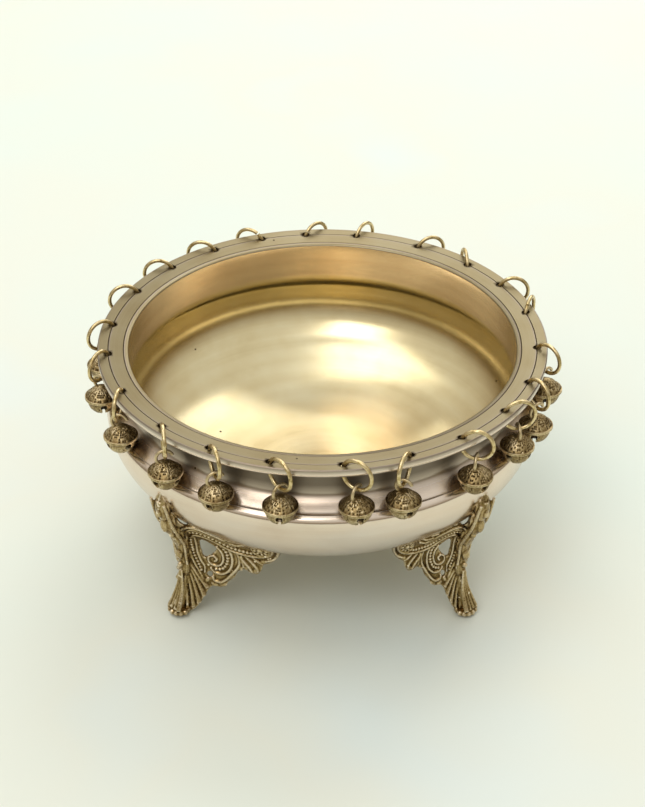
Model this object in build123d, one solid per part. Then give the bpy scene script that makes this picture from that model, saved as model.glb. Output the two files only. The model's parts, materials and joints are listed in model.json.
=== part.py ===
from build123d import *
from math import cos, radians, sin
import os

# Brass urli: a wide shallow bowl on four cast legs, with a fringe of small round
# bells.  Each bell hangs from its own split ring, and each ring passes through a
# hole in the flat rim.  Millimetres, +Z up, origin on the floor under the centre.
# Azimuths are in degrees from the front (-Y), growing towards +X.

# Bowl
HEIGHT = 120.0            # floor to the top of the rim
RIM_RADIUS = 114.0        # outer edge of the flat rim
MOUTH_RADIUS = 98.5       # clear opening inside the rim
RIM_DISH = 1.5            # the rim's inner lip lies this much lower than its edge
RIM_THICKNESS = 4.0       # height of the rim's outer edge band
NECK_HEIGHT = 22.0        # rim top to where the belly starts to swell
NECK_WALL = 2.5
BELLY_RADIUS = 111.6      # widest part of the bowl below the neck
BELLY_DROP = 34.0         # rim top to the widest part
SHOULDER_BULGE = 5.0      # how far the shoulder line lies inside the widest part
SHOULDER_PLACE = 0.33     # share of the way from there up to the foot of the neck
BOWL_DEPTH = 89.0         # rim top to the underside of the bowl
BELLY_FULLNESS = 2.33     # exponent of the belly's curve, 2 is an ellipse
BELLY_WALL = 2.4
BELLY_STEPS = 9

# Rings in the rim
WIRE_RADIUS = 1.0
RING_RADIUS = 7.8         # centre line of the wire
RING_REACH = 7.4          # hole axis to the ring's centre
RING_DROP = 4.0           # rim top to the ring's centre
RING_SPLIT = 5.0          # degrees left open at the joint of the wire
SPLIT_PLACE = 150.0       # where the joint lies, degrees round the ring
HOLE_CIRCLE = 108.66      # radius of the circle of holes
HOLE_CLEARANCE = 1.0      # between the wire and the wall of its hole
RING_AZIMUTHS = (-175, 170, 151, 133.5, 119.5, 103.5, 85.5, 68.5, 53.5, 37, 22,
                 5, -13, -29, -44.5, -64, -82.5, -97, -115.5, -131.5, -147, -162)
RING_TWISTS = (-54, -28, -43, 54, -32, 54, -42, -33, 45, 40, -45,
               54, 54, 50, 54, 54, 50, 45, 42, 45, 50, 50)

# Bells
BELL_RADIUS = 8.6         # at the raised band round the middle
BAND_HEIGHT = 1.6
BAND_PROUD = 0.45         # how far the band stands out from the dome and the cup
DOME_HEIGHT = 6.0
CUP_DEPTH = 9.0
BELL_WALL = 1.0
LOOP_WIRE = 0.83          # radius of the cast loop's bar
LOOP_RADIUS = 4.1         # centre line of the cast loop
LOOP_ARC = 285.0
LOOP_RISE = 8.1           # bell's middle to the centre of its loop
LOOP_PLAY = 0.2           # between the loop and the ring that it hangs from
SLOT_WIDTH = 1.6
SLOT_EYE = 1.5            # radius of the round end of each slot
SLOT_TOP = 2.7            # bell's middle to the centre of each round end
PELLET_RADIUS = 2.5
PELLET_PLAY = 0.15

# Legs
LEG_AZIMUTHS = {"leg_front_left": -45, "leg_front_right": 45,
                "leg_back_right": 135, "leg_back_left": -135}
LEG_WIDTHS = {"leg_front_left": 1.0, "leg_front_right": 0.74,
              "leg_back_right": 0.9, "leg_back_left": 0.9}
LEG_RADIUS = 104.5        # bowl's axis to the corner of the foot
LEG_TOP = 76.0            # floor to the top of the corner ridge
LEG_WALL = 3.2
WING_SPREAD = 63.0        # each wing's angle from the inward direction
WING_OVERRUN = 3.0        # how far each wing runs past the corner
RIDGE_WIDTH = 9.0
RIDGE_DEPTH = 6.0
FOOT_RADIUS = 6.0
FOOT_HEIGHT = 2.5
BRAZE_GAP = 0.05          # filled with solder on the real bowl
THROUGH = 32.0            # length of a cutter that runs right through a wall

# Curve of a leg seen from the side: height above the floor, and how far the
# leg's outer face stands out from the corner of the foot.
LEG_CURVE = ((0, 0), (14, -3.4), (28, -4.5), (45, -2.8), (58, 3.2), (LEG_TOP, 7.8))

# Outline of one wing: distance from the corner, and height above the floor.
WING_OUTLINE = ((-3, 0), (7.5, 0), (10.6, 4.4), (13.6, 10.4), (15.6, 14.6), (18.3, 16.2), (23, 16.8),
                (26, 20.8), (29.2, 24.2), (34.6, 30.8), (39.3, 29.2), (42, 29.5),
                (45.2, 36.7), (49, 38.9), (52, 42.2), (54.7, 47.3), (56, 54),
                (57, LEG_TOP), (10, LEG_TOP), (10, 62), (6, 57), (3, 61), (2, LEG_TOP), (-3, LEG_TOP))
WING_HOLE = ((11, 43), (13.2, 46.5), (16.2, 45.1), (20.6, 42), (18, 37.3), (13, 33.2))


def on_rim(azimuth, radius):
    """The point above the floor at the rim's height, at this azimuth and radius."""
    angle = radians(azimuth)
    return Vector(radius * sin(angle), -radius * cos(angle), HEIGHT)


def belly_points(radius, drop, steps):
    """Points of a belly curve from its widest place down to its lowest."""
    top = HEIGHT - BELLY_DROP
    points = []
    for step in range(steps + 1):
        turn = radians(90.0 * step / steps)
        points.append((radius * cos(turn), top - drop * sin(turn) ** (2 / BELLY_FULLNESS)))
    points[-1] = (0, top - drop)
    return points


def belly_curve(radius, drop):
    """The belly as one smooth curve, upright at the side and level at the bottom."""
    return Spline(belly_points(radius, drop, BELLY_STEPS), tangents=((0, -1), (-1, 0)))


def shoulder_curve(neck, radius, drop):
    """From the foot of the neck, out and round to the widest part of the belly."""
    foot = (neck, HEIGHT - NECK_HEIGHT)
    line = (radius - SHOULDER_BULGE, HEIGHT - drop + (drop - NECK_HEIGHT) * SHOULDER_PLACE)
    side = (radius, HEIGHT - drop)
    return Spline(foot, line, side, tangents=((0, -1), (0, -1)))


def bowl_outline(grow):
    """The outer line of the bowl below the rim, pushed out by grow."""
    neck = MOUTH_RADIUS + NECK_WALL + grow
    side = BELLY_RADIUS + grow
    under_rim = HEIGHT - RIM_THICKNESS
    drop = BOWL_DEPTH - BELLY_DROP + grow
    return (Line((neck, under_rim), (neck, HEIGHT - NECK_HEIGHT))
            + shoulder_curve(neck, side, BELLY_DROP)
            + belly_curve(side, drop))


def filled_bowl(grow):
    """The bowl below the rim as a solid block, for trimming what touches it."""
    bottom = HEIGHT - BOWL_DEPTH - grow
    top = HEIGHT - RIM_THICKNESS
    neck = MOUTH_RADIUS + NECK_WALL + grow
    close = Polyline((0, bottom), (0, top), (neck, top))
    return revolve(make_face(Plane.XZ * (bowl_outline(grow) + close)), Axis.Z)


def make_bowl():
    """The turned bowl: flat rim, neck, belly, and a row of ring holes."""
    lip = HEIGHT - RIM_DISH
    under_rim = HEIGHT - RIM_THICKNESS
    neck = MOUTH_RADIUS + NECK_WALL
    inner_side = BELLY_RADIUS - BELLY_WALL
    inner_drop = BOWL_DEPTH - BELLY_DROP - BELLY_WALL
    inner = (Line((MOUTH_RADIUS, lip), (MOUTH_RADIUS, HEIGHT - NECK_HEIGHT))
             + shoulder_curve(MOUTH_RADIUS, inner_side, BELLY_DROP)
             + belly_curve(inner_side, inner_drop))
    rim = Polyline((MOUTH_RADIUS, lip), (RIM_RADIUS, HEIGHT), (RIM_RADIUS, under_rim), (neck, under_rim))
    bottom = HEIGHT - BOWL_DEPTH
    middle = Line((0, bottom), (0, bottom + BELLY_WALL))
    bowl = revolve(make_face(Plane.XZ * (rim + bowl_outline(0) + middle + inner)), Axis.Z)
    hole = Cylinder(WIRE_RADIUS + HOLE_CLEARANCE, THROUGH)
    for azimuth in RING_AZIMUTHS:
        bowl -= Pos(on_rim(azimuth, HOLE_CIRCLE)) * hole
    return bowl


def hang(azimuth, twist):
    """Frame at a ring's hole: Z up the hole, X towards the ring's centre."""
    return Pos(on_rim(azimuth, HOLE_CIRCLE)) * Rot(0, 0, azimuth + twist - 90)


def make_ring():
    """A split ring of round wire, standing in the XZ plane of its hole's frame."""
    section = Plane.XZ * Pos(RING_RADIUS, 0) * Circle(WIRE_RADIUS)
    wire = revolve(section, Axis.Z, 360 - RING_SPLIT)
    return Pos(RING_REACH, 0, -RING_DROP) * Rot(90, 0, 0) * Rot(0, 0, SPLIT_PLACE) * wire


def round_body(side, top, bottom, half):
    """A squat ball: a cap above, a deeper cap below, and an upright side between."""
    over = TangentArc((0, top), (side, half), tangent=(1, 0))
    under = TangentArc((0, bottom), (side, -half), tangent=(1, 0))
    line = over + Line((side, half), (side, -half)) + under + Line((0, bottom), (0, top))
    return revolve(make_face(Plane.XZ * line), Axis.Z)


def bell_cup():
    """The bell's hollow body with its raised band, about its own middle."""
    side = BELL_RADIUS - BAND_PROUD
    half = BAND_HEIGHT / 2
    body = round_body(side, DOME_HEIGHT, -CUP_DEPTH, half)
    hollow = round_body(side - BELL_WALL, DOME_HEIGHT - BELL_WALL, BELL_WALL - CUP_DEPTH, half)
    return body + Cylinder(BELL_RADIUS, BAND_HEIGHT) - hollow


def slot_cutter():
    """One slit right across the cup, with a round eye at each end."""
    slit = Pos(0, 0, -(SLOT_TOP + CUP_DEPTH) / 2) * Box(2 * BELL_RADIUS, SLOT_WIDTH, CUP_DEPTH - SLOT_TOP + 1)
    eye = Pos(0, 0, -SLOT_TOP) * Rot(0, 90, 0) * Cylinder(SLOT_EYE, THROUGH)
    return slit + eye


def make_bell():
    """A round bell with its cast loop and a loose pellet, hung in a ring's frame."""
    loop_middle = WIRE_RADIUS + LOOP_PLAY + LOOP_WIRE - LOOP_RADIUS
    section = Plane.XZ * Pos(LOOP_RADIUS, 0) * Circle(LOOP_WIRE)
    loop = Rot(0, 90, 0) * Rot(0, 0, 180 - LOOP_ARC / 2) * revolve(section, Axis.Z, LOOP_ARC)
    shell = bell_cup() + Pos(0, 0, LOOP_RISE) * loop
    for turn in (45, 135):
        shell -= Rot(0, 0, turn) * slot_cutter()
    pellet_height = PELLET_RADIUS + PELLET_PLAY + BELL_WALL - CUP_DEPTH
    pellet = Pos(0, 0, pellet_height) * Sphere(PELLET_RADIUS)
    place = Pos(RING_REACH, 0, loop_middle - RING_DROP - RING_RADIUS - LOOP_RISE)
    return [place * shell, place * pellet]


def leg_wall(thickness, length, start):
    """A wall that follows the leg's curve, running along +X from start."""
    outer = Spline([(out, height) for height, out in LEG_CURVE])
    inner = Spline([(out - thickness, height) for height, out in LEG_CURVE])
    ends = (Line(outer @ 0, inner @ 0) + Line(outer @ 1, inner @ 1))
    section = Plane(origin=(start, 0, 0), x_dir=(0, -1, 0), z_dir=(-1, 0, 0)) * (outer + inner + ends)
    return extrude(make_face(section), length, dir=(1, 0, 0))


def make_wing(width):
    """One openwork wing, its corner at the origin, running along +X, faced to -Y."""
    outline = make_face(Plane.XZ * Polyline([(width * u, v) for u, v in WING_OUTLINE], close=True))
    hole = make_face(Plane.XZ * Polyline([(width * u, v) for u, v in WING_HOLE], close=True))
    sheet = extrude(outline - hole, THROUGH, both=True)
    reach = width * max(u for u, v in WING_OUTLINE)
    return leg_wall(LEG_WALL, reach + WING_OVERRUN, -WING_OVERRUN) & sheet


def make_leg(width):
    """A leg with its foot's corner at the origin, facing -Y, still untrimmed."""
    wing = Rot(0, 0, 90 - WING_SPREAD) * make_wing(width)
    other = mirror(wing, Plane.YZ)
    ridge = Pos(0, -RIDGE_DEPTH / 4, 0) * leg_wall(RIDGE_DEPTH, RIDGE_WIDTH, -RIDGE_WIDTH / 2)
    foot = Pos(0, RIDGE_DEPTH / 4, FOOT_HEIGHT / 2) * Cylinder(FOOT_RADIUS, FOOT_HEIGHT)
    return wing + other + ridge + foot


def stand(azimuth):
    """Frame at a leg's foot, with -Y pointing away from the bowl's axis."""
    angle = radians(azimuth)
    return Pos(LEG_RADIUS * sin(angle), -LEG_RADIUS * cos(angle), 0) * Rot(0, 0, azimuth)


def largest(shape):
    """The largest solid of a shape, without offcuts."""
    return max(shape.solids(), key=lambda solid: solid.volume)


def write(name, shape):
    export_step(shape, f"parts/{name}.step")


os.makedirs("parts", exist_ok=True)
write("bowl", make_bowl())
trimmer = filled_bowl(BRAZE_GAP)
for name, azimuth in LEG_AZIMUTHS.items():
    write(name, largest(stand(azimuth) * make_leg(LEG_WIDTHS[name]) - trimmer))
ring = make_ring()
bell = make_bell()
for number, (azimuth, twist) in enumerate(zip(RING_AZIMUTHS, RING_TWISTS), start=1):
    place = hang(azimuth, twist)
    write(f"ring_{number:02d}", place * ring)
    write(f"bell_{number:02d}", Compound([place * piece for piece in bell]))
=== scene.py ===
import bpy
import json
import math
import random
from mathutils import Matrix, Vector, noise


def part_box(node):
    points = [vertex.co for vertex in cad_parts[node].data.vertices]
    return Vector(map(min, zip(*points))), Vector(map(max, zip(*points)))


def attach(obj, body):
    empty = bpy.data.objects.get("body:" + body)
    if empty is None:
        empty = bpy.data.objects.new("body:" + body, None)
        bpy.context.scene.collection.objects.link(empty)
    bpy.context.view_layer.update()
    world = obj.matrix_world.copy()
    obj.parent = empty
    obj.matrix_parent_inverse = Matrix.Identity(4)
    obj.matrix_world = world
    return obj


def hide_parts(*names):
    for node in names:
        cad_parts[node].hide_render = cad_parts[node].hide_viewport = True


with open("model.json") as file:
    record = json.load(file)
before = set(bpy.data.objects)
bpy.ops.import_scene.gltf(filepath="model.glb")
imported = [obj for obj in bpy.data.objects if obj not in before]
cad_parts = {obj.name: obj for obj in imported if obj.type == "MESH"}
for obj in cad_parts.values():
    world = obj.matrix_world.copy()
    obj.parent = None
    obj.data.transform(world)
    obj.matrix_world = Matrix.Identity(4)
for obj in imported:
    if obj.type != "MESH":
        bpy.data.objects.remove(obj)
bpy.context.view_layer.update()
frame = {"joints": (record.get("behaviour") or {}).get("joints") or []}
bpy.ops.object.select_all(action="DESELECT")

# ---------------------------------------------------------------- camera
# One long lens, above the front of the table and tipped down at the bowl.
MM = 0.001
rim_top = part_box("bowl")[1].z
camera = bpy.data.objects.new("camera", bpy.data.cameras.new("camera"))
bpy.context.scene.collection.objects.link(camera)
camera.data.lens = 80.3
camera.location = (0, -0.77465, rim_top + 0.48952)
camera.rotation_euler = (math.radians(90 - 34.39), 0, 0)
bpy.context.scene.camera = camera


# ---------------------------------------------------------------- table and light
# A pale, faintly blotched table top runs on behind the bowl.  Large soft lamps
# stand behind on the left, on the right and overhead, in a dim warm room.
def new_material(name):
    """A material with an empty node tree; returns it and its node tree."""
    made = bpy.data.materials.new(name)
    made.use_nodes = True
    made.node_tree.nodes.clear()
    return made, made.node_tree


def node(tree, kind, inputs=(), **settings):
    """Adds a node, with its settings and its inputs, each a value or another node's output."""
    made = tree.nodes.new(kind)
    for key, value in settings.items():
        setattr(made, key, value)
    for key, value in dict(inputs).items():
        if isinstance(value, bpy.types.NodeSocket):
            tree.links.new(value, made.inputs[key])
        else:
            made.inputs[key].default_value = value
    return made


def ramp(tree, factor, *stops):
    """A colour ramp through (place, colour) stops."""
    made = node(tree, "ShaderNodeValToRGB", {"Fac": factor})
    elements = made.color_ramp.elements
    while len(elements) < len(stops):
        elements.new(0.5)
    for element, (place, colour) in zip(elements, stops):
        element.position = place
        element.color = (*colour, 1)
    return made.outputs["Color"]


def output(tree, shader):
    node(tree, "ShaderNodeOutputMaterial", {"Surface": shader.outputs[0]})


paper, tree = new_material("table_paper")
place = node(tree, "ShaderNodeTexCoord").outputs["Object"]
blotch = node(tree, "ShaderNodeTexNoise", {"Vector": place, "Scale": 3.2, "Detail": 3.0, "Roughness": 0.55})
tint = ramp(tree, blotch.outputs["Fac"], (0.38, (0.74, 0.81, 0.74)), (0.55, (0.77, 0.80, 0.71)), (0.68, (0.73, 0.81, 0.78)))
output(tree, node(tree, "ShaderNodeBsdfPrincipled", {"Base Color": tint, "Roughness": 0.75}))

bpy.ops.mesh.primitive_plane_add(size=9)
table = bpy.context.object
table.name = "table_top"
table.data.materials.append(paper)


def soft_lamp(name, location, width, height, power, colour):
    """An upright rectangular lamp that faces the bowl."""
    lamp = bpy.data.objects.new(name, bpy.data.lights.new(name, "AREA"))
    lamp.data.shape = "RECTANGLE"
    lamp.data.size = width
    lamp.data.size_y = height
    lamp.data.energy = power
    lamp.data.color = colour
    lamp.location = location
    aim = Vector((0, 0, 0.08)) - lamp.location
    lamp.rotation_euler = aim.to_track_quat("-Z", "Y").to_euler()
    bpy.context.scene.collection.objects.link(lamp)


soft_lamp("window_left", (-0.68, 1.68, 1.5), 0.5, 0.7, 3.3, (1.0, 0.99, 0.96))
soft_lamp("window_right", (0.62, 1.70, 1.42), 1.15, 1.86, 16.8, (1.0, 0.99, 0.96))
soft_lamp("overhead", (-0.6, 0.0, 2.1), 1.2, 1.2, 8, (1.0, 1.0, 0.98))
soft_lamp("window_front", (-0.7, -1.5, 2.2), 1.2, 1.2, 13, (1.0, 0.95, 0.92))

room = bpy.data.worlds.new("room")
bpy.context.scene.world = room
room.use_nodes = True
tree = room.node_tree
tree.nodes.clear()
upward = node(tree, "ShaderNodeSeparateXYZ", {"Vector": node(tree, "ShaderNodeTexCoord").outputs["Generated"]})
height = node(tree, "ShaderNodeMath", {0: upward.outputs["Z"], 1: 0.5, 2: 0.5}, operation="MULTIPLY_ADD")
glow = ramp(tree, height.outputs[0], (0.45, (0.22, 0.18, 0.12)), (0.60, (0.40, 0.35, 0.27)), (0.78, (0.88, 0.86, 0.80)), (1.0, (1.0, 1.0, 0.98)))
sky = node(tree, "ShaderNodeBackground", {"Color": glow, "Strength": 0.85})
node(tree, "ShaderNodeOutputWorld", {"Surface": sky.outputs[0]})
bpy.context.scene.view_settings.view_transform = "Standard"


# ---------------------------------------------------------------- bowl
# The bowl is cast brass, turned all over on a lathe and left with a fine ringed
# satin.  Two lines are cut in the flat rim and one round the shoulder, and the
# ring holes are drilled on the rim's outer line, where dark polish has gathered.
bowl_low, bowl_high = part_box("bowl")
RIM_EDGE = bowl_high.x
MOUTH = 98.5 * MM
LIP_DROP = 1.5 * MM
EDGE_BAND = 4.0 * MM
NECK = 101.0 * MM
NECK_FOOT = rim_top - 22 * MM
SIDE = 111.6 * MM
SIDE_HEIGHT = rim_top - 34 * MM
SKIN = 2.4 * MM
FULLNESS = 2.33
HOLE_CIRCLE = 108.66 * MM
INNER_LINE = 101.0 * MM
LINE_HALF = 0.28 * MM
LINE_DEEP = 0.35 * MM
SHOULDER_LINE = rim_top - 30 * MM
HOLE = 2.0 * MM
BOWL_STEPS = 320
STAIN = math.radians(88)


def bezier(a, b, c, d, steps):
    """Points of a cubic curve from a to d, leaving towards b and arriving from c."""
    made = []
    for step in range(steps + 1):
        t = step / steps
        s = 1 - t
        weights = (s ** 3, 3 * s * s * t, 3 * s * t * t, t ** 3)
        made.append(tuple(sum(w * p[axis] for w, p in zip(weights, (a, b, c, d))) for axis in (0, 1)))
    return made


def belly(side, bottom, steps):
    """Points from the widest part of the belly down to the middle of its floor."""
    made = []
    for step in range(steps + 1):
        turn = 0.5 * math.pi * step / steps
        sunk = (SIDE_HEIGHT - bottom) * math.sin(turn) ** (2 / FULLNESS)
        made.append((side * math.cos(turn), SIDE_HEIGHT - sunk))
    made[-1] = (0, bottom)
    return made


def shoulder(neck, side):
    """Points from the foot of the neck out to the widest part of the belly."""
    return bezier((neck, NECK_FOOT), (neck, NECK_FOOT - 4.5 * MM), (side, SIDE_HEIGHT + 4.5 * MM),
                  (side, SIDE_HEIGHT), 16)


def rim_height(radius):
    """The rim's top falls slightly towards the mouth."""
    return rim_top - LIP_DROP * (RIM_EDGE - radius) / (RIM_EDGE - MOUTH)


def cut_line(radius):
    """The V of a line cut in the rim."""
    made = [(radius - LINE_HALF, 0), (radius, -LINE_DEEP), (radius + LINE_HALF, 0)]
    return [(r, rim_height(r) + sunk) for r, sunk in made]


def rim_points():
    """Across the rim from the mouth to its edge, and down round the edge band."""
    lip = bezier((MOUTH, rim_height(MOUTH) - 1.2 * MM), (MOUTH, rim_height(MOUTH) - 0.3 * MM),
                 (MOUTH + 0.3 * MM, rim_height(MOUTH)), (MOUTH + 1.2 * MM, rim_height(MOUTH)), 4)
    steps = [102.5, 104.5, 106.2, 107.5]
    flat = [(r * MM, rim_height(r * MM)) for r in steps]
    outer = [(r * MM, rim_height(r * MM)) for r in (110.0, 111.5, 113.0, 113.6)]
    band = [(RIM_EDGE, rim_top - 0.45 * MM), (RIM_EDGE, rim_top - 2.9 * MM), (RIM_EDGE - 0.25 * MM, rim_top - 3.05 * MM),
            (RIM_EDGE, rim_top - 3.2 * MM), (RIM_EDGE - 0.3 * MM, rim_top - EDGE_BAND), (106 * MM, rim_top - EDGE_BAND)]
    return lip + cut_line(INNER_LINE) + flat + cut_line(HOLE_CIRCLE) + outer + band


def outside_points():
    """Down the outside, with the V of the line cut round the shoulder."""
    root = bezier((104 * MM, rim_top - EDGE_BAND), (102 * MM, rim_top - EDGE_BAND),
                  (NECK, rim_top - EDGE_BAND - 1 * MM), (NECK, rim_top - EDGE_BAND - 3 * MM), 5)
    wall = [(NECK, rim_top - z * MM) for z in (10, 14, 18)]
    curve = shoulder(NECK, SIDE)
    above = [p for p in curve if p[1] > SHOULDER_LINE + LINE_HALF]
    below = [p for p in curve if p[1] < SHOULDER_LINE - LINE_HALF]
    middle = Vector(above[-1]).lerp(Vector(below[0]), (above[-1][1] - SHOULDER_LINE) / (above[-1][1] - below[0][1]))
    line = [(middle.x, SHOULDER_LINE + LINE_HALF), (middle.x - LINE_DEEP, SHOULDER_LINE), (middle.x, SHOULDER_LINE - LINE_HALF)]
    return root + wall + above + line + below + belly(SIDE, bowl_low.z, 44)[1:]


def select_all(action="SELECT"):
    bpy.ops.mesh.select_all(action=action)


def edit(piece, mode="EDIT"):
    """Makes a piece the only one selected and goes into or out of edit mode."""
    if bpy.context.object and bpy.context.object.mode != "OBJECT":
        bpy.ops.object.mode_set(mode="OBJECT")
    bpy.ops.object.select_all(action="DESELECT")
    bpy.context.view_layer.objects.active = piece
    piece.select_set(True)
    bpy.ops.object.mode_set(mode=mode)


def drawn_line(name, points, plane="XZ"):
    """A chain of edges, extruded from one vertex through points; left in edit mode."""
    spots = [Vector((x, 0, z)) if plane == "XZ" else Vector((x, z, 0)) for x, z in points]
    bpy.ops.mesh.primitive_plane_add(size=MM, location=spots[0])
    piece = bpy.context.object
    piece.name = name
    bpy.ops.object.transform_apply(location=True)
    bpy.ops.object.mode_set(mode="EDIT")
    bpy.ops.mesh.merge(type="CENTER")
    for before, after in zip(spots, spots[1:]):
        bpy.ops.mesh.extrude_region_move(TRANSFORM_OT_translate={"value": after - before})
    return piece


def close_up(distance=0.002 * MM):
    """Merges doubles and turns all faces outwards, then leaves edit mode."""
    select_all()
    bpy.ops.mesh.remove_doubles(threshold=distance)
    bpy.ops.mesh.normals_make_consistent(inside=False)
    bpy.ops.object.mode_set(mode="OBJECT")


def turned(name, points, steps, angle=2 * math.pi):
    """A solid of revolution about the Z axis."""
    piece = drawn_line(name, points)
    select_all()
    bpy.ops.mesh.spin(steps=steps, angle=angle, center=(0, 0, 0), axis=(0, 0, 1))
    close_up()
    return piece


def apply_modifier(piece, kind, **settings):
    """Adds a modifier and applies it at once."""
    edit(piece, "OBJECT")
    modifier = piece.modifiers.new(kind.lower(), kind)
    for key, value in settings.items():
        setattr(modifier, key, value)
    bpy.ops.object.modifier_apply(modifier=modifier.name)


def cut_with(piece, cutter, operation="DIFFERENCE"):
    """Joins or subtracts a closed piece, which is then thrown away."""
    apply_modifier(piece, "BOOLEAN", object=cutter, operation=operation, solver="MANIFOLD")
    bpy.data.objects.remove(cutter)


def joined(pieces, name):
    """Joins pieces into one."""
    bpy.ops.object.select_all(action="DESELECT")
    for piece in pieces:
        piece.select_set(True)
    bpy.context.view_layer.objects.active = pieces[0]
    bpy.ops.object.join()
    pieces[0].name = name
    return pieces[0]


def smooth(piece, degrees=40):
    edit(piece, "OBJECT")
    bpy.ops.object.shade_smooth_by_angle(angle=math.radians(degrees))


joints = {joint["name"]: joint for joint in frame["joints"]}
turns = [joints[f"ring_{number:02d}_turn"] for number in range(1, 23)]
swings = [joints[f"bell_{number:02d}_swing"] for number in range(1, 23)]

inside_side = SIDE - SKIN
inside = belly(inside_side, bowl_low.z + SKIN, 44)[::-1] + shoulder(MOUTH, inside_side)[::-1][1:]
inside += [(MOUTH, NECK_FOOT + rise * MM) for rise in (2, 6, 11, 16)]
bowl = turned("urli_bowl", inside + rim_points() + outside_points(), BOWL_STEPS)
drills = []
for turn in turns:
    spot = (turn["pos_m"][0], turn["pos_m"][1], rim_top - EDGE_BAND / 2)
    bpy.ops.mesh.primitive_cylinder_add(vertices=28, radius=HOLE, depth=3 * EDGE_BAND, location=spot)
    bpy.ops.object.transform_apply(location=True)
    drills.append(bpy.context.object)
cut_with(bowl, joined(drills, "drills"))
smooth(bowl)


def paint_grime_shade_and_reflection(piece):
    """Grime lies round the drilled holes and in one stain on the rim. The whole rim top is darkened as painted shade
    and darker still in its cut lines, the outside of the neck is painted shade under the rim, and the outside and the
    inner neck wall are painted paler as a reflection of the room.
    """
    for layer in ("grime_and_shade", "painted_reflection"):
        piece.data.attributes.new(layer, "FLOAT", "POINT")
    grime_and_shade, painted_reflection = [piece.data.attributes[layer].data for layer in ("grime_and_shade", "painted_reflection")]
    spots = [Vector(turn["pos_m"][:2]) for turn in turns]
    sizes = [random.Random(7).uniform(0.6, 2.4) * MM for turn in turns]
    stain = Vector((111 * math.sin(STAIN), -111 * math.cos(STAIN))) * MM
    for vertex, dark, light in zip(piece.data.vertices, grime_and_shade, painted_reflection):
        flat = Vector(vertex.co[:2])
        radius = flat.length
        amount = 0.0
        # Painted shade: the whole rim top is darkened; the cut lines are darkened further; real grime lies round the
        # holes and in one stain.
        if vertex.co.z > rim_top - 2 * MM:
            amount = 0.66
            if min(abs(radius - HOLE_CIRCLE), abs(radius - INNER_LINE)) < 0.1 * MM:
                amount = 1.0
            nearest = min(((flat - spot).length - HOLE, size) for spot, size in zip(spots, sizes))
            amount = max(amount, 1 - max(0, nearest[0]) / nearest[1], 0.8 - (flat - stain).length / (9 * MM))
        outside = vertex.normal.xy.dot(flat) > 0
        # Painted shade: the outside of the neck is darkened towards the underside of the rim, fading out above the
        # shoulder; the shoulder line is darkened too.
        if outside and vertex.co.z < rim_top - EDGE_BAND + 0.1 * MM:
            amount = 0.78 * max(0.0, min(1.0, (vertex.co.z - NECK_FOOT + 6 * MM) / (9 * MM)))
            if abs(vertex.co.z - SHOULDER_LINE) < 0.1 * MM:
                amount = 1.0
        dark.value = amount
        # Painted reflection: the outside and the inner neck wall take a paler, pinker colour, as of the room they
        # reflect; elsewhere the brass keeps a yellower colour, as of the bowl reflecting itself.
        light.value = 1.0 if outside else 0.9 if NECK_FOOT + MM < vertex.co.z < rim_top - 2 * MM else 0.0


paint_grime_shade_and_reflection(bowl)
bowl.data.materials.clear()

turned_brass, tree = new_material("turned_brass")
place = node(tree, "ShaderNodeTexCoord").outputs["Object"]
split = node(tree, "ShaderNodeSeparateXYZ", {"Vector": place})
level = node(tree, "ShaderNodeCombineXYZ", {"X": split.outputs["X"], "Y": split.outputs["Y"]})
radius = node(tree, "ShaderNodeVectorMath", {0: level.outputs[0]}, operation="LENGTH")
rings = node(tree, "ShaderNodeCombineXYZ", {"X": radius.outputs["Value"], "Y": split.outputs["Z"]})
fine = node(tree, "ShaderNodeTexNoise", {"Vector": rings.outputs[0], "Scale": 1500.0, "Detail": 3.0})
broad = node(tree, "ShaderNodeTexNoise", {"Vector": rings.outputs[0], "Scale": 160.0, "Detail": 2.0})
cloud = node(tree, "ShaderNodeTexNoise", {"Vector": place, "Scale": 26.0, "Detail": 4.0, "Roughness": 0.6})
pits = node(tree, "ShaderNodeTexVoronoi", {"Vector": place, "Scale": 50.0}, feature="F1")
pit = node(tree, "ShaderNodeMath", {0: pits.outputs["Distance"], 1: 0.03}, operation="LESS_THAN")
grime_and_shade = node(tree, "ShaderNodeAttribute", attribute_name="grime_and_shade")
tone = node(tree, "ShaderNodeMath", {0: cloud.outputs["Fac"], 1: 0.6, 2: 0.10}, operation="MULTIPLY_ADD")
tone = node(tree, "ShaderNodeMath", {0: fine.outputs["Fac"], 1: 0.2, 2: tone.outputs[0]}, operation="MULTIPLY_ADD")
tone = node(tree, "ShaderNodeMath", {0: broad.outputs["Fac"], 1: 0.3, 2: tone.outputs[0]}, operation="MULTIPLY_ADD")
# Two lit copies of one brass: the yellow one paints the inside reflecting itself, the pale one paints the outside
# reflecting the room.
yellow_interreflected_brass = ramp(tree, tone.outputs[0], (0.30, (0.52, 0.40, 0.19)), (0.62, (0.72, 0.61, 0.36)), (0.85, (0.80, 0.72, 0.48)))
pale_reflected_brass = ramp(tree, tone.outputs[0], (0.30, (0.60, 0.46, 0.33)), (0.62, (0.78, 0.66, 0.54)), (0.85, (0.84, 0.74, 0.63)))
reflection_tint = node(tree, "ShaderNodeAttribute", attribute_name="painted_reflection")
metal = node(tree, "ShaderNodeMix", {"Factor": reflection_tint.outputs["Fac"], "A": yellow_interreflected_brass, "B": pale_reflected_brass}, data_type="RGBA")
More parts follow.
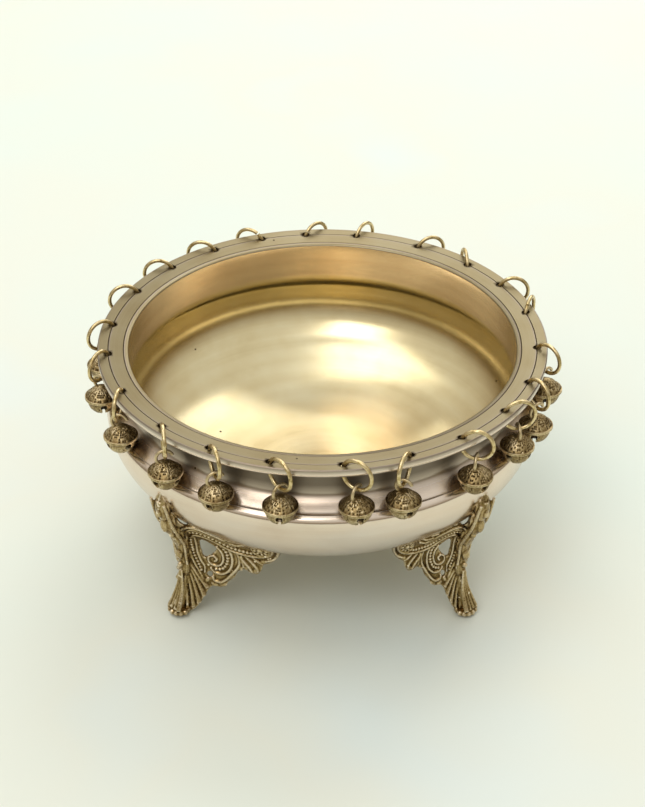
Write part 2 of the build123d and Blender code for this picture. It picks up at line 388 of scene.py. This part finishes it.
# Grime and painted shade darken the metal towards near black and roughen it.
dirt_and_shade = node(tree, "ShaderNodeMath", {0: grime_and_shade.outputs["Fac"], 1: pit.outputs[0]}, operation="MAXIMUM")
colour = node(tree, "ShaderNodeMix", {"Factor": dirt_and_shade.outputs[0], "A": metal.outputs["Result"], "B": (0.055, 0.036, 0.014, 1)}, data_type="RGBA")
rough = node(tree, "ShaderNodeMath", {0: broad.outputs["Fac"], 1: 0.08, 2: 0.18}, operation="MULTIPLY_ADD")
rough = node(tree, "ShaderNodeMath", {0: dirt_and_shade.outputs[0], 1: 0.3, 2: rough.outputs[0]}, operation="MULTIPLY_ADD")
output(tree, node(tree, "ShaderNodeBsdfPrincipled", {
    "Base Color": colour.outputs["Result"], "Metallic": 1.0, "Roughness": rough.outputs[0], "Anisotropic": 0.55}))
bowl.data.materials.append(turned_brass)
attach(bowl, "bowl")
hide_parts("bowl")


# ---------------------------------------------------------------- split rings
# Each ring is a length of drawn brass wire bent round a rod and sprung through
# its hole, so it is open at one place.  It is bright, with dirt in the draw marks.
WIRE = 1.0 * MM
RING = 7.8 * MM
RING_OPEN = math.radians(5)


def bent_wire(name, radius, wire, angle, steps, sides):
    """Round wire bent about the Z axis, closed at its ends."""
    bpy.ops.mesh.primitive_circle_add(vertices=sides, radius=wire, location=(radius, 0, 0),
                                      rotation=(math.pi / 2, 0, 0))
    piece = bpy.context.object
    piece.name = name
    bpy.ops.object.transform_apply(location=True, rotation=True)
    bpy.ops.object.mode_set(mode="EDIT")
    select_all()
    bpy.ops.mesh.spin(steps=steps, angle=angle, center=(0, 0, 0), axis=(0, 0, 1))
    select_all("DESELECT")
    bpy.ops.mesh.select_mode(type="EDGE")
    bpy.ops.mesh.select_non_manifold()
    bpy.ops.mesh.edge_face_add()
    select_all("DESELECT")
    bpy.ops.mesh.select_mode(type="VERT")
    close_up()
    return piece


def copy_to(piece, name, matrix):
    """A copy with its own mesh, put in its place."""
    made = piece.copy()
    made.data = piece.data.copy()
    made.name = name
    made.data.transform(matrix)
    bpy.context.scene.collection.objects.link(made)
    return made


def hanging(turn, swing):
    """Frame at a ring's lowest point: X along the ring, Z up."""
    heading = math.atan2(-swing["axis"][1], -swing["axis"][0])
    return Matrix.Translation(swing["pos_m"]) @ Matrix.Rotation(heading, 4, "Z")


drawn_brass, tree = new_material("drawn_brass")
place = node(tree, "ShaderNodeTexCoord").outputs["Object"]
cloud = node(tree, "ShaderNodeTexNoise", {"Vector": place, "Scale": 420.0, "Detail": 4.0, "Roughness": 0.65})
marks = node(tree, "ShaderNodeTexNoise", {"Vector": place, "Scale": 2600.0, "Detail": 2.0})
metal = ramp(tree, cloud.outputs["Fac"], (0.30, (0.20, 0.13, 0.045)), (0.42, (0.56, 0.43, 0.20)), (0.60, (0.76, 0.62, 0.36)))
rough = node(tree, "ShaderNodeMath", {0: cloud.outputs["Fac"], 1: -0.25, 2: 0.42}, operation="MULTIPLY_ADD")
bump = node(tree, "ShaderNodeBump", {"Height": marks.outputs["Fac"], "Strength": 0.25, "Distance": 0.00008})
output(tree, node(tree, "ShaderNodeBsdfPrincipled", {
    "Base Color": metal, "Metallic": 1.0, "Roughness": rough.outputs[0], "Normal": bump.outputs[0]}))

ring = bent_wire("ring_pattern", RING, WIRE, 2 * math.pi - RING_OPEN, 72, 16)
smooth(ring, 50)
ring.data.materials.append(drawn_brass)
chance = random.Random(3)
for number, (turn, swing) in enumerate(zip(turns, swings), start=1):
    joint_place = Matrix.Rotation(math.radians(chance.uniform(120, 200)), 4, "Z")
    upright = Matrix.Translation((0, 0, RING)) @ Matrix.Rotation(math.pi / 2, 4, "X") @ joint_place
    piece = copy_to(ring, f"split_ring_{number:02d}", hanging(turn, swing) @ upright)
    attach(piece, f"ring_{number:02d}")
    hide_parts(f"ring_{number:02d}")
bpy.data.objects.remove(ring)


# ---------------------------------------------------------------- bells
# Each bell is a thin brass casting: a stippled dome with a cast loop, a raised
# band, and a cup with two crossed slits.  A loose iron ball rings inside it.
BELL = 8.6 * MM
BAND = 1.5 * MM
DOME = 6.0 * MM
CUP = 9.0 * MM
BELL_SKIN = 1.0 * MM
LOOP = 4.1 * MM
LOOP_WIRE = 0.83 * MM
LOOP_RISE = 8.1 * MM
LOOP_PLAY = 0.2 * MM
BELL_STEPS = 48
bell_drop = WIRE + LOOP_PLAY + LOOP_WIRE - LOOP - LOOP_RISE


def bell_points():
    """Outline of the bell's wall: over the dome, round the band and cup, and back inside."""
    side = BELL - 0.45 * MM
    dome = bezier((0, DOME), (0.40 * side, DOME), (0.74 * side, DOME * 0.58), (side * 0.97, BAND / 2), 9)
    band = [(BELL - 0.1 * MM, BAND * 0.5), (BELL, BAND * 0.4), (BELL, -BAND * 0.4), (BELL - 0.1 * MM, -BAND * 0.5)]
    cup = bezier((side * 0.95, -BAND / 2), (side * 0.93, -CUP * 0.60), (side * 0.60, -CUP), (0, -CUP), 9)
    room = side - BELL_SKIN
    back = bezier((0, BELL_SKIN - CUP), (room * 0.6, BELL_SKIN - CUP), (room, -CUP * 0.5), (room, 0), 6)
    roof = bezier((room, 0), (room * 0.8, DOME * 0.55), (room * 0.4, DOME - BELL_SKIN), (0, DOME - BELL_SKIN), 5)[1:]
    return dome + band + cup + back + roof


def stipple(piece):
    """Sinks short dashes picked at random round the dome, and a few in the cup."""
    edit(piece, "OBJECT")
    chance = random.Random(11)
    for edge in piece.data.edges:
        edge.select = False
    for vertex in piece.data.vertices:
        vertex.select = False
    for face in piece.data.polygons:
        centre, normal = face.center, face.normal
        radius = Vector(centre[:2]).length
        outer = normal.dot(centre) > 0
        on_dome = outer and centre.z > BAND * 0.6 and radius > 2.4 * MM
        on_cup = outer and centre.z < -BAND and radius > 3 * MM
        face.select = (on_dome and chance.random() < 0.46) or (on_cup and chance.random() < 0.14)
    bpy.context.tool_settings.mesh_select_mode = (False, False, True)
    bpy.ops.object.mode_set(mode="EDIT")
    bpy.ops.mesh.inset(thickness=0.10 * MM, depth=-0.34 * MM, use_individual=True)
    bpy.ops.mesh.select_mode(type="VERT")
    bpy.ops.object.mode_set(mode="OBJECT")


bell = turned("bell_pattern", bell_points(), BELL_STEPS)
stipple(bell)
apply_modifier(bell, "SUBSURF", levels=1, render_levels=1)
for vertex in bell.data.vertices:
    vertex.co += vertex.normal * noise.noise(vertex.co * 620) * 0.10 * MM
for quarter in (1, 3):
    turn_slot = Matrix.Rotation(quarter * math.pi / 4, 4, "Z")
    bpy.ops.mesh.primitive_cube_add(size=1)
    slit = bpy.context.object
    slit.data.transform(turn_slot @ Matrix.Translation((0, 0, -6.4 * MM)) @ Matrix.Diagonal((22 * MM, 1.6 * MM, 7 * MM, 1)))
    cut_with(bell, slit)
    bpy.ops.mesh.primitive_cylinder_add(vertices=12, radius=1.75 * MM, depth=24 * MM)
    eye = bpy.context.object
    eye.data.transform(turn_slot @ Matrix.Translation((0, 0, -2.7 * MM)) @ Matrix.Rotation(math.pi / 2, 4, "Y"))
    cut_with(bell, eye)
loop = bent_wire("loop", LOOP, LOOP_WIRE, math.radians(285), 36, 12)
loop.data.transform(Matrix.Translation((0, 0, LOOP_RISE)) @ Matrix.Rotation(math.pi / 2, 4, "Y") @ Matrix.Rotation(math.radians(37.5), 4, "Z"))
cut_with(bell, loop, "UNION")
smooth(bell, 50)
bell.data.materials.clear()

bell_brass, tree = new_material("bell_brass")
place = node(tree, "ShaderNodeTexCoord").outputs["Object"]
cavity = node(tree, "ShaderNodeNewGeometry").outputs["Pointiness"]
grain = node(tree, "ShaderNodeTexNoise", {"Vector": place, "Scale": 1100.0, "Detail": 5.0, "Roughness": 0.7})
patch = node(tree, "ShaderNodeTexNoise", {"Vector": place, "Scale": 120.0, "Detail": 3.0})
sharp = node(tree, "ShaderNodeMath", {0: cavity, 1: 3.0, 2: -1.0}, operation="MULTIPLY_ADD")
worn = node(tree, "ShaderNodeMath", {0: patch.outputs["Fac"], 1: 0.35, 2: sharp.outputs[0]}, operation="MULTIPLY_ADD")
worn = node(tree, "ShaderNodeMath", {0: grain.outputs["Fac"], 1: 0.45, 2: worn.outputs[0]}, operation="MULTIPLY_ADD")
metal = ramp(tree, worn.outputs[0], (0.70, (0.035, 0.022, 0.008)), (0.85, (0.17, 0.11, 0.045)), (0.97, (0.40, 0.30, 0.14)), (1.0, (0.62, 0.50, 0.30)))
rough = node(tree, "ShaderNodeMath", {0: grain.outputs["Fac"], 1: 0.25, 2: 0.28}, operation="MULTIPLY_ADD")
bump = node(tree, "ShaderNodeBump", {"Height": grain.outputs["Fac"], "Strength": 0.5, "Distance": 0.00015})
output(tree, node(tree, "ShaderNodeBsdfPrincipled", {
    "Base Color": metal, "Metallic": 1.0, "Roughness": rough.outputs[0], "Normal": bump.outputs[0]}))
bell.data.materials.append(bell_brass)

iron, tree = new_material("pellet_iron")
place = node(tree, "ShaderNodeTexCoord").outputs["Object"]
rust = node(tree, "ShaderNodeTexNoise", {"Vector": place, "Scale": 900.0, "Detail": 4.0})
metal = ramp(tree, rust.outputs["Fac"], (0.4, (0.05, 0.045, 0.04)), (0.6, (0.12, 0.07, 0.04)))
output(tree, node(tree, "ShaderNodeBsdfPrincipled", {"Base Color": metal, "Metallic": 1.0, "Roughness": 0.55}))
PELLET = 2.5 * MM
bpy.ops.mesh.primitive_uv_sphere_add(segments=16, ring_count=10, radius=PELLET)
pellet = bpy.context.object
for vertex in pellet.data.vertices:
    vertex.co *= 1 + 0.03 * noise.noise(vertex.co * 500)
smooth(pellet, 60)
pellet.data.materials.append(iron)
pellet_drop = bell_drop + PELLET + 0.15 * MM + BELL_SKIN - CUP

for number, (turn, swing) in enumerate(zip(turns, swings), start=1):
    frame_here = hanging(turn, swing)
    piece = copy_to(bell, f"round_bell_{number:02d}", frame_here @ Matrix.Translation((0, 0, bell_drop)))
    ball = copy_to(pellet, f"pellet_{number:02d}", frame_here @ Matrix.Translation((0, 0, pellet_drop)))
    for made in (piece, ball):
        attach(made, f"bell_{number:02d}")
    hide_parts(f"bell_{number:02d}")
bpy.data.objects.remove(bell)
bpy.data.objects.remove(pellet)

# ---------------------------------------------------------------- legs
# Each leg is one brass casting: two openwork wings of beaded scrolls meet at a
# jewelled ridge over a fluted foot.  It is laid out flat in millimetres, bent to
# the leg's curve, mirrored at the ridge and cut to the bowl it is brazed to.
LEG_RADIUS = 104.5 * MM
LEG_TOP = 76.0
LEG_CURVE = ((0, 0), (14, -3.4), (28, -4.5), (45, -2.8), (58, 3.2), (LEG_TOP, 7.8))
LEG_WALL = 3.2
RELIEF = 1.5
WING_TURN = math.radians(27)
CASTING = 0.4
LEGS = (("front_left", -45, 1.0), ("front_right", 45, 0.74), ("back_right", 135, 0.9), ("back_left", -135, 0.9))
WING_OUTLINE = ((-6, 0), (5, 0.2), (7.6, 1.0), (10.6, 4.4), (13.6, 10.4), (15.8, 14.6), (18.3, 16.4), (23, 17), (26, 20.8), (29.2, 24.2),
                (31.5, 28.8), (34.6, 31), (37.5, 29.6), (39.6, 29.3), (42, 29.8), (44.1, 33.4), (45.2, 36.7), (49, 38.9),
                (52, 42.2), (54.7, 47.3), (56, 54), (57, 66), (57, LEG_TOP), (30, LEG_TOP), (10, LEG_TOP), (9.6, 62),
                (6, 57.8), (3.4, 62), (2, LEG_TOP), (-6, LEG_TOP), (-6, 40))
WING_HOLE = ((11.6, 43.4), (13.2, 46.2), (16.2, 45.1), (20.2, 41.8), (18, 37.6), (13.4, 33.6), (12, 38))
SMALL_HOLE = ((14.2, 22.2), (15.6, 25.2), (17.4, 24.2), (16.6, 21))
RAISED = (
    # The double arch over the hole, and the border that carries it on to the tip.
    (((3.4, 47), (4.0, 51.5), (6, 55.6), (9.5, 57.8), (14, 57.7), (20, 55.4), (27, 50.9), (32, 48.7), (36.6, 50.4)), (1.8, 2.0, 1.6)),
    (((5.2, 47), (6.1, 51.4), (8, 54.4), (11, 55.8), (14.5, 55.5), (20, 53.2), (26, 49.2), (31.5, 46.9)), (1.4, 1.5, 1.2)),
    (((8.4, 47.6), (9.6, 50), (12, 50.9), (15.8, 50.2), (20, 48), (24.8, 44.9), (31, 42.6), (37.5, 42), (43.8, 42.7),
      (49, 45.3), (51.3, 49.5), (50.4, 53.5)), (1.5, 1.5, 1.7)),
    (((46.5, 40.2), (50.6, 42.5), (53.2, 46.4), (54.6, 51.5), (54.8, 57)), (1.2, 1.8, 1.4)),
    # The beaded scroll under the arch and its volute.
    (((20.8, 44), (23.3, 40), (23.9, 35.4), (22.2, 31.4), (18.8, 30.3), (16, 32.2), (16.2, 35.4), (18.8, 36.6), (20.4, 34.6),
      (19, 33)), (1.3, 1.3, 1.5)),
    (((27.4, 43.2), (28.7, 38.6), (28.4, 33), (26.4, 28.4), (22.6, 25.6), (18.8, 26), (16.6, 28.4)), (1.5, 1.7, 1.2)),
    (((31.6, 42), (32.6, 37.4), (31.8, 32.6), (29, 28), (25.6, 23.4), (22, 20.4), (18.6, 20.8), (17.6, 23.4)), (1.3, 1.9, 1.4)),
    # The ribs each side of the beaded spine, down from the arch to the foot.
    (((9.6, 49.6), (10, 44), (10.2, 38), (11.6, 32.4), (13.6, 28.4), (13.4, 24)), (1.4, 1.6, 1.0)),
    (((5.4, 47), (5.6, 40), (6.6, 34), (8.4, 28.6), (11.0, 23.6), (12.8, 20)), (1.2, 1.3, 1.0)),
    (((8.2, 70), (8.0, 65), (6.4, 60.6)), (1.2, 1.6, 1.2)),
    # Flutes of the shell foot, and the leaf veins beside it.
    (((4.6, 30), (9.4, 22.6), (13.4, 17.4), (15.0, 15.4)), (1.0, 2.0, 2.6)),
    (((4.2, 29), (8.4, 20.4), (11.8, 13.6), (13.4, 10.4)), (0.9, 2.0, 2.8)),
    (((3.6, 28), (6.8, 18.4), (9.4, 10.4), (10.8, 6.0)), (0.9, 2.0, 2.8)),
    (((3.0, 27), (5.0, 17), (6.8, 8.6), (7.7, 3.2)), (0.9, 1.9, 2.7)),
    (((2.0, 26), (3.0, 15), (4.0, 7.6), (4.5, 1.8)), (0.9, 1.8, 2.5)),
    # Veins of the leaves that hang from the border.
    (((31.6, 41), (34.6, 37.6), (37.6, 33.6), (39.2, 30.8)), (1.0, 2.0, 1.4)),
    (((35.6, 41), (39.2, 37.6), (41.4, 34.4), (42.2, 31.6)), (1.0, 1.9, 1.3)),
    (((40, 41), (43, 38.8), (45.2, 37.8)), (1.0, 1.7, 1.3)),
    (((33.6, 40.6), (34.4, 36), (34.6, 32.8)), (0.9, 1.7, 1.3)),
    # Leaves lying on top of the arch, under the belly.
    (((27, 52.4), (31, 51.8), (34.6, 53.4), (36.2, 56.6)), (1.1, 2.2, 1.0)),
    (((24, 55.4), (28.6, 55.4), (32.6, 57.4)), (1.1, 2.0, 0.9)),
)
BEADED = (
    # (row of beads, bead size, spacing)
    (((8.6, 52.6), (11.6, 53.5), (15, 53.0), (19.4, 50.9), (24, 47.9), (28, 45.7), (33, 44.6), (38, 44.2), (41.4, 44.9)), 1.9, 2.1),
    (((22, 46.2), (25.3, 42), (26.3, 37.4), (25.4, 32.6), (23, 29), (19.6, 28)), 1.8, 2.0),
    (((7.4, 47), (7.4, 41), (8.2, 35), (10, 30.4), (11.6, 25.6)), 1.5, 1.8),
)
ROSETTE = (44.6, 48.4)
LEAVES = ((36.4, 33.4, 2.6, 1.5, 60), (41.2, 32.6, 2.6, 1.4, 70), (45.6, 39.4, 2.4, 1.4, 25), (49.6, 41.6, 2.0, 1.2, 35),
          (33.2, 31.6, 1.9, 1.1, 75), (27.6, 24.8, 2.2, 1.3, 40), (23.2, 19.2, 2.4, 1.5, 10), (18.6, 18.2, 2.2, 1.4, -10),
          (14.6, 19.8, 2.0, 1.2, 60), (46.6, 54.6, 3.0, 1.5, 15), (40, 54, 2.6, 1.4, -20), (51.6, 57, 2.4, 1.3, 70),
          (14, 61, 3.2, 1.6, 15), (20.5, 60, 3.0, 1.5, -15))
# Height, half width and half height of each boss down the knee, and of each jewel on it.
KNEE = ((70, 5.2, 8), (60, 5.8, 8), (50, 5.4, 7.5), (41, 4.6, 6.5), (33, 3.8, 6), (26, 3.4, 6))
JEWELS = ((58.5, 2.5, 4.2), (67.5, 1.8, 2.6), (50.5, 1.7, 2.0), (35.5, 2.2, 2.9), (28.6, 1.5, 1.6))


def along(points, spacing, closed=False):
    """Evenly spaced points on a smooth curve through points."""
    spots = [Vector(point) for point in points]
    count = len(spots)
    dense = []
    for span in range(count if closed else count - 1):
        places = [span + step for step in (-1, 0, 1, 2)]
        a, b, c, d = [spots[p % count] if closed else spots[min(max(p, 0), count - 1)] for p in places]
        for step in range(12):
            t = step / 12
            bend = (2 * a - 5 * b + 4 * c - d) * t * t + (3 * b - a - 3 * c + d) * t ** 3
            dense.append((2 * b + (c - a) * t + bend) / 2)
    dense.append(spots[0] if closed else spots[-1])
    lengths = [0.0]
    for before, after in zip(dense, dense[1:]):
        lengths.append(lengths[-1] + (after - before).length)
    steps = max(2, round(lengths[-1] / spacing))
    made = []
    place = 0
    for step in range(steps + (0 if closed else 1)):
        wanted = lengths[-1] * step / steps
        while place < len(lengths) - 2 and lengths[place + 1] < wanted:
            place += 1
        share = (wanted - lengths[place]) / max(1e-9, lengths[place + 1] - lengths[place])
        made.append(dense[place].lerp(dense[place + 1], min(1, share)))
    return made


def between(values, share):
    """Interpolates evenly spaced values."""
    place = share * (len(values) - 1)
    low = min(int(place), len(values) - 2)
    return values[low] + (values[low + 1] - values[low]) * (place - low)


def raised_lines(name, lines):
    """Round lines, each a path in space with its widths from start to end, as one mesh."""
    data = bpy.data.curves.new(name, "CURVE")
    data.dimensions = "3D"
    data.bevel_depth = 0.5
    data.bevel_resolution = 2
    data.use_fill_caps = True
    for path, widths in lines:
        spots = along(path, 0.6)
        spline = data.splines.new("POLY")
        spline.points.add(len(spots) - 1)
        for place, (spot, point) in enumerate(zip(spots, spline.points)):
            point.co = (*spot, 1)
            point.radius = between(widths, place / (len(spots) - 1))
    piece = bpy.data.objects.new(name, data)
    bpy.context.scene.collection.objects.link(piece)
    edit(piece, "OBJECT")
    bpy.ops.object.convert(target="MESH")
    return bpy.context.object


def lumps(name, places):
    """Rounded lumps, each (centre, half sizes, turn about Y), as one mesh."""
    bpy.ops.mesh.primitive_cube_add(size=0.1, location=places[0][0])
    piece = bpy.context.object
    piece.name = name
    bpy.ops.object.transform_apply(location=True)
    bpy.ops.object.mode_set(mode="EDIT")
    for centre, sizes, turn in places:
        bpy.ops.mesh.primitive_uv_sphere_add(segments=12, ring_count=8, radius=1, location=centre, scale=sizes,
                                             rotation=(0, turn, 0))
    bpy.ops.object.mode_set(mode="OBJECT")
    return piece


def flat_plate(name, outline, back, front):
    """A plate in the XZ plane from back to front, both measured towards -Y."""
    piece = drawn_line(name, along(outline, 0.9, closed=True))
    select_all()
    bpy.ops.mesh.edge_face_add()
    bpy.ops.mesh.extrude_region_move(TRANSFORM_OT_translate={"value": (0, back - front, 0)})
    close_up()
    piece.data.transform(Matrix.Translation((0, -back, 0)))
    return piece


def leg_bend(height):
    """How far out the leg stands at a height."""
    return BENT[min(len(BENT) - 1, max(0, round(height * 4)))]


def make_wing():
    """One wing laid flat, its corner on the Z axis, running along +X and facing -Y."""
    plate = flat_plate("wing", WING_OUTLINE, -LEG_WALL, -RELIEF)
    for hole in (WING_HOLE, SMALL_HOLE):
        cut_with(plate, flat_plate("hole", hole, -2 * LEG_WALL, LEG_WALL))
    apply_modifier(plate, "REMESH", mode="VOXEL", voxel_size=0.8)
    lines = [([(u, RELIEF * 0.7, v) for u, v in path], widths) for path, widths in RAISED]
    places = [((u, RELIEF * 0.8, v), (size / 2, size / 2, size / 2), 0)
              for path, size, spacing in BEADED for u, v in along(path, spacing)]
    places += [((u, RELIEF, v), (long, 0.9, wide), math.radians(-turn)) for u, v, long, wide, turn in LEAVES]
    middle, height = ROSETTE
    places.append(((middle, RELIEF * 0.5, height), (1.7, 1.2, 1.7), 0))
    for petal in range(9):
        turn = petal * math.tau / 9
        spot = (middle + 3.1 * math.cos(turn), RELIEF * 0.8, height + 3.1 * math.sin(turn))
        places.append((spot, (1.3, 0.9, 0.8), -turn))
    circle = [(middle + 4.7 * math.cos(a * 0.5), RELIEF * 0.7, height + 4.7 * math.sin(a * 0.5)) for a in range(-9, 4)]
    lines.append((circle, (0.9, 1.3, 0.9)))
    return joined([plate, raised_lines("lines", lines), lumps("lumps", places)], "wing")


def make_leg(wing, width):
    """A leg in millimetres, its foot's corner at the origin, facing -Y, still untrimmed."""
    leg = copy_to(wing, "leg", Matrix.Diagonal((width, 1, 1, 1)))
    for vertex in leg.data.vertices:
        vertex.co.y -= leg_bend(vertex.co.z)
    leg.data.transform(Matrix.Rotation(WING_TURN, 4, "Z"))
    apply_modifier(leg, "MIRROR", use_axis=(True, False, False), use_bisect_axis=(True, False, False), merge_threshold=0.01)
    spine = [(0, 1.2 - leg_bend(z) * 1.12, z) for z in (2, 10, 20, 30, 40, 50, 60, 70, 75)]
    lines = [(spine, (4.2, 3.4, 4.4, 5.2, 4.6))]
    for side in (-1, 1):
        border = [(side * x, -0.6 - leg_bend(z) * 1.12, z)
                  for z, x in ((75, 4.8), (68, 5.2), (60, 5.6), (52, 5.3), (44, 4.4), (36, 3.8), (30, 4.2))]
        curl = [(side * x, -2.2 - leg_bend(z) * 1.12, z)
                for z, x in ((50, 0.4), (47, 2.2), (43.6, 2.0), (42.6, 0.2), (44.4, -0.8), (45.8, 0.2))]
        lines += [(border, (1.6, 2.0, 1.8, 1.4)), (curl, (1.0, 1.3, 1.1))]
    for rib in (-1.5, -0.5, 0.5, 1.5):
        fan = [(rib * 0.5, -1.2 - leg_bend(25), 25), (rib * 1.2, -1.4 - leg_bend(14), 14), (rib * 2.3, -2.6, 3.0)]
        lines.append((fan, (1.0, 2.0, 2.6)))
    places = [((0, 1.0 - leg_bend(z) * 1.12, z), (wide, 2.6, tall), 0) for z, wide, tall in KNEE]
    places += [((0, -1.7 - leg_bend(z) * 1.12, z), (wide, 1.7, tall), 0) for z, wide, tall in JEWELS]
    for toe in range(-3, 4):
        turn = toe * 0.46
        places.append(((5.2 * math.sin(turn), 1.4 - 5.2 * math.cos(turn), 1.5), (1.4, 1.4, 1.5), 0))
    bpy.ops.mesh.primitive_cylinder_add(vertices=40, radius=5.6, depth=2.5, location=(0, 1.4, 1.25))
    foot = bpy.context.object
    bpy.ops.object.transform_apply(location=True)
    leg = joined([leg, raised_lines("ridge", lines), lumps("jewels", places), foot], "leg")
    apply_modifier(leg, "REMESH", mode="VOXEL", voxel_size=CASTING)
    apply_modifier(leg, "SMOOTH", factor=0.5, iterations=1)
    low = min(vertex.co.z for vertex in leg.data.vertices)
    leg.data.transform(Matrix.Translation((0, 0, -low)))
    leg.data.transform(Matrix.Scale(MM, 4))
    return leg


def keep_largest(piece):
    """Throws away all but the largest loose part."""
    name = piece.name
    edit(piece)
    select_all()
    bpy.ops.mesh.separate(type="LOOSE")
    bpy.ops.object.mode_set(mode="OBJECT")
    parts = sorted(bpy.context.selected_objects, key=lambda part: len(part.data.vertices))
    for part in parts[:-1]:
        bpy.data.objects.remove(part)
    parts[-1].name = name
    return parts[-1]


cast_brass, tree = new_material("cast_brass")
place = node(tree, "ShaderNodeTexCoord").outputs["Object"]
cavity = node(tree, "ShaderNodeNewGeometry").outputs["Pointiness"]
grain = node(tree, "ShaderNodeTexNoise", {"Vector": place, "Scale": 900.0, "Detail": 5.0, "Roughness": 0.7})
patch = node(tree, "ShaderNodeTexNoise", {"Vector": place, "Scale": 70.0, "Detail": 3.0})
sharp = node(tree, "ShaderNodeMath", {0: cavity, 1: 3.5, 2: -1.25}, operation="MULTIPLY_ADD")
worn = node(tree, "ShaderNodeMath", {0: patch.outputs["Fac"], 1: 0.20, 2: sharp.outputs[0]}, operation="MULTIPLY_ADD")
worn = node(tree, "ShaderNodeMath", {0: grain.outputs["Fac"], 1: 0.20, 2: worn.outputs[0]}, operation="MULTIPLY_ADD")
metal = ramp(tree, worn.outputs[0], (0.52, (0.045, 0.026, 0.008)), (0.66, (0.20, 0.13, 0.045)), (0.76, (0.48, 0.36, 0.18)),
             (0.90, (0.86, 0.74, 0.56)))
rough = node(tree, "ShaderNodeMath", {0: grain.outputs["Fac"], 1: 0.25, 2: 0.16}, operation="MULTIPLY_ADD")
bump = node(tree, "ShaderNodeBump", {"Height": grain.outputs["Fac"], "Strength": 0.4, "Distance": 0.00012})
output(tree, node(tree, "ShaderNodeBsdfPrincipled", {
    "Base Color": metal, "Metallic": 1.0, "Roughness": rough.outputs[0], "Normal": bump.outputs[0]}))

curve_points = along(LEG_CURVE, 0.2)
BENT = [min(curve_points, key=lambda point: abs(point.x - step / 4)).y for step in range(int(LEG_TOP * 4) + 1)]
wing = make_wing()
filler_points = [(0, rim_top)] + [(NECK + 0.05 * MM, rim_top)] + [(r + 0.05 * MM, z) for r, z in shoulder(NECK, SIDE)]
filler_points += [(r + (0.05 * MM if r > 0 else 0), z - 0.05 * MM) for r, z in belly(SIDE, bowl_low.z, 44)]
filler = turned("filler", filler_points, 200)
for name, azimuth, width in LEGS:
    piece = make_leg(wing, width)
    angle = math.radians(azimuth)
    spot = Matrix.Translation((LEG_RADIUS * math.sin(angle), -LEG_RADIUS * math.cos(angle), 0))
    piece.data.transform(spot @ Matrix.Rotation(angle, 4, "Z"))
    cut_with(piece, copy_to(filler, "cutter", Matrix.Identity(4)))
    piece = keep_largest(piece)
    piece.name = f"cast_leg_{name}"
    piece.data.materials.clear()
    piece.data.materials.append(cast_brass)
    smooth(piece, 60)
    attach(piece, "bowl")
    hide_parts(f"leg_{name}")
bpy.data.objects.remove(filler)
bpy.data.objects.remove(wing)
